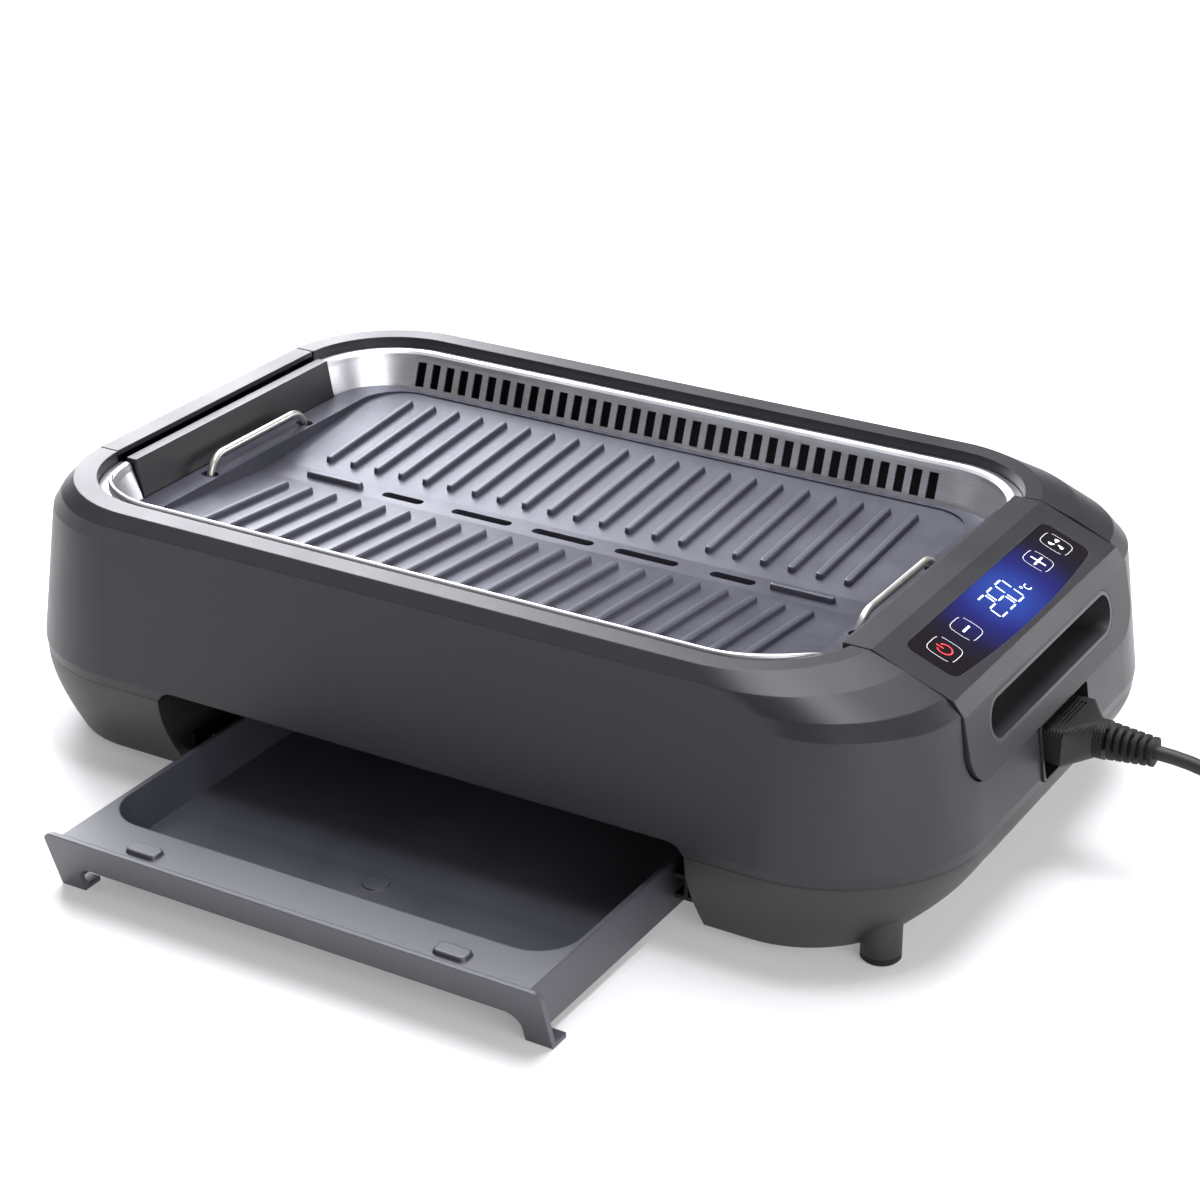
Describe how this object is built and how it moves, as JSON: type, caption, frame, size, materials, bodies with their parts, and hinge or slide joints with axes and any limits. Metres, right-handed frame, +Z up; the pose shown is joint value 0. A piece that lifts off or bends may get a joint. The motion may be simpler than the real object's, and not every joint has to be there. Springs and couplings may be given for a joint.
{
  "type": "smokeless electric grill",
  "caption": "Long table-top electric grill with a lift-out ribbed plate, vented steel liner, touch panel, extractor fan and a pull-out drip drawer.",
  "frame": {"origin": "on the table, under the middle of the box round the grill and its drawer as it stands, part way out", "axes": "+X along the length towards the control panel, +Y away from the drawer's front, +Z up"},
  "size_m": [0.6929, 0.5591, 0.142],
  "materials": {
    "housing_graphite": "satin metallic",
    "saddle_graphite": "satin metallic",
    "cover_graphite": "satin metallic",
    "base_dark": "satin",
    "panel_glass": "polished, dark",
    "board_green": "satin",
    "plastic_black": "satin",
    "liner_steel": "brushed",
    "plate_nonstick": "satin non-stick coat",
    "wire_steel": "polished",
    "pan_aluminium": "satin",
    "element_steel": "dull",
    "steel_plain": "plain",
    "ceramic_white": "matt",
    "pin_metal": "polished",
    "plug_black": "matt",
    "cord_black": "matt",
    "rubber_black": "matt",
    "tray_black": "satin",
    "impeller_aluminium": "satin"
  },
  "bodies": {
    "base": {"upper_housing": "housing_graphite", "base_shell": "base_dark", "rubber_feet": "rubber_black", "foot_screws": "steel_plain", "control_saddle": "saddle_graphite", "touch_glass": "panel_glass", "control_board": "board_green", "right_hand_cup": "plastic_black", "left_end_cover": "cover_graphite", "left_hand_cup": "plastic_black", "right_end_block": "plastic_black", "left_end_block": "plastic_black", "rear_liner": "liner_steel", "front_liner": "liner_steel", "heat_pan": "pan_aluminium", "heating_element": "element_steel", "element_clips": "steel_plain", "temperature_probe": "steel_plain", "thermal_cutout": "ceramic_white", "inlet_socket": "plastic_black", "inlet_pins": "pin_metal", "left_drawer_runner": "plastic_black", "right_drawer_runner": "plastic_black", "fan_motor": "steel_plain", "fan_casing": "plastic_black", "power_board": "board_green"},
    "drawer": {"drip_tray": "tray_black"},
    "plate": {"grill_plate": "plate_nonstick"},
    "left_handle": {"left_wire_handle": "wire_steel"},
    "right_handle": {"right_wire_handle": "wire_steel"},
    "fan": {"fan_shaft": "steel_plain", "fan_impeller": "impeller_aluminium"},
    "lead": {"appliance_plug": "plug_black", "plug_strain_relief": "rubber_black", "supply_cord": "cord_black", "cord_coil": "cord_black", "coil_tie": "plastic_black", "cord_tail": "cord_black", "mains_plug": "plug_black", "mains_pins": "pin_metal"}
  },
  "joints": [
    {"name": "drawer_slide", "type": "slide", "parent": "base", "child": "drawer", "axis": [0, -1, 0], "range_m": [-0.104, 0.08]},
    {"name": "plate_lift", "type": "slide", "parent": "base", "child": "plate", "axis": [0, 0, 1], "range_m": [0, 0.1]},
    {"name": "left_handle_tilt", "type": "hinge", "parent": "plate", "child": "left_handle", "pos_m": [-0.2042, 0.0525, 0.1108], "axis": [0, 1, 0], "range_deg": [-15, 15]},
    {"name": "right_handle_tilt", "type": "hinge", "parent": "plate", "child": "right_handle", "pos_m": [0.1742, 0.0525, 0.1108], "axis": [0, 1, 0], "range_deg": [-15, 15]},
    {"name": "fan_spin", "type": "hinge", "parent": "base", "child": "fan", "pos_m": [-0.197, 0.0325, 0], "axis": [0, 0, 1], "continuous": true},
    {"name": "plug_pull", "type": "slide", "parent": "base", "child": "lead", "axis": [1, 0, 0], "range_m": [0, 0.022]}
  ]
}
